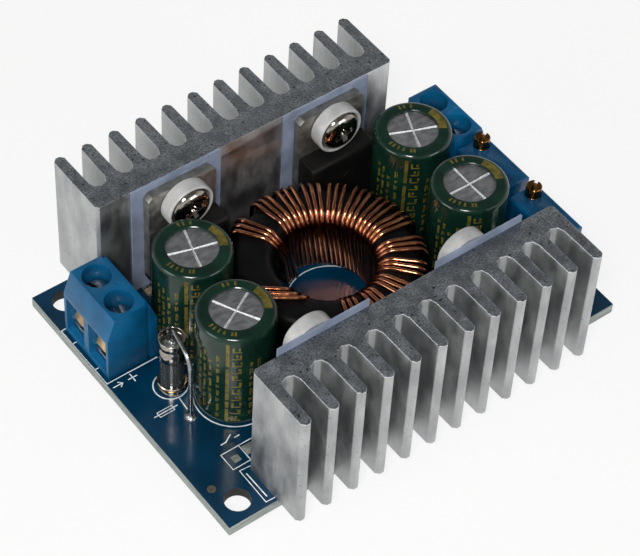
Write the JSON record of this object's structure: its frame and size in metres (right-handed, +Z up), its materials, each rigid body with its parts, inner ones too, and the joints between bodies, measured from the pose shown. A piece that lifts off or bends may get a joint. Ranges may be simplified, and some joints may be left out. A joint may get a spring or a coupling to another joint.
{
  "type": "buck-boost converter module",
  "caption": "Open power converter board with a wound ring inductor, electrolytic capacitors, screw terminals and trimmers between two upright finned heatsinks",
  "frame": {"origin": "Centre of the rectangle of four corner mounting holes, on the underside of the circuit board.", "axes": "+Z up, out of the board's component side. +X from the input terminal end towards the output terminal and trimmer end, along the board's long edges. +Y towards the rear heatsink, the one beside the screw terminals."},
  "size_m": [0.0626, 0.0525, 0.0238],
  "materials": {
    "board": "glossy blue solder mask over glass fibre laminate",
    "solder": "bright soldered joints",
    "heatsink": "mill-finish extrusion with sawn ends",
    "pad": "matt silicone sheet",
    "tab": "tin-plated plate, dull",
    "moulding": "black moulding compound",
    "lead": "tinned wire",
    "bush": "white moulded plastic",
    "screw": "nickel-plated steel",
    "can": "bright drawn aluminium",
    "sleeve": "dark green shrunk sleeve",
    "core": "black coated ferrite ring",
    "copper": "enamelled copper wire",
    "terminal": "blue moulded polyamide",
    "clamp": "zinc-plated steel",
    "leaf": "phosphor bronze strip",
    "glass": "clear glass tube",
    "fuse_cap": "nickel-plated brass",
    "trimmer": "blue moulded case",
    "adjuster": "turned brass",
    "small_part": "ceramic chip with tinned ends"
  },
  "bodies": {
    "base": {"capacitor_can_input_front": "can", "capacitor_can_input_rear": "can", "capacitor_can_output_front": "can", "capacitor_can_output_rear": "can", "capacitor_sleeve_input_front": "sleeve", "capacitor_sleeve_input_rear": "sleeve", "capacitor_sleeve_output_front": "sleeve", "capacitor_sleeve_output_rear": "sleeve", "capacitor_wires": "lead", "circuit_board": "board", "control_chip": "moulding", "control_chip_legs": "lead", "fuse_cap_lower": "fuse_cap", "fuse_cap_upper": "fuse_cap", "fuse_element": "fuse_cap", "fuse_glass": "glass", "fuse_wire_lower": "lead", "fuse_wire_upper": "lead", "heatsink_front": "heatsink", "heatsink_rear": "heatsink", "inductor_core": "core", "inductor_wire_1": "copper", "inductor_wire_2": "copper", "inductor_wire_3": "copper", "input_clamp_cages": "clamp", "input_clamp_leaves": "leaf", "input_clamp_screws": "clamp", "input_terminal_housing": "terminal", "insulating_bushes": "bush", "insulating_pad_front_left": "pad", "insulating_pad_front_right": "pad", "insulating_pad_rear_left": "pad", "insulating_pad_rear_right": "pad", "output_clamp_cages": "clamp", "output_clamp_leaves": "leaf", "output_clamp_screws": "clamp", "output_terminal_housing": "terminal", "small_parts": "small_part", "solder_joints": "solder", "tab_screws": "screw", "transistor_legs_front_left": "lead", "transistor_legs_front_right": "lead", "transistor_legs_rear_left": "lead", "transistor_legs_rear_right": "lead", "transistor_moulding_front_left": "moulding", "transistor_moulding_front_right": "moulding", "transistor_moulding_rear_left": "moulding", "transistor_moulding_rear_right": "moulding", "transistor_tab_front_left": "tab", "transistor_tab_front_right": "tab", "transistor_tab_rear_left": "tab", "transistor_tab_rear_right": "tab", "trimmer_body_far": "trimmer", "trimmer_body_near": "trimmer", "trimmer_wires": "lead"},
    "adjuster_near": {"trimmer_adjuster_near": "adjuster"},
    "adjuster_far": {"trimmer_adjuster_far": "adjuster"}
  },
  "joints": [
    {"name": "adjuster_near_turn", "type": "hinge", "parent": "base", "child": "adjuster_near", "pos_m": [0.0286, -0.00735, 0.0116], "axis": [0, 0, 1], "continuous": true},
    {"name": "adjuster_far_turn", "type": "hinge", "parent": "base", "child": "adjuster_far", "pos_m": [0.0286, 0.00345, 0.0116], "axis": [0, 0, 1], "continuous": true}
  ]
}
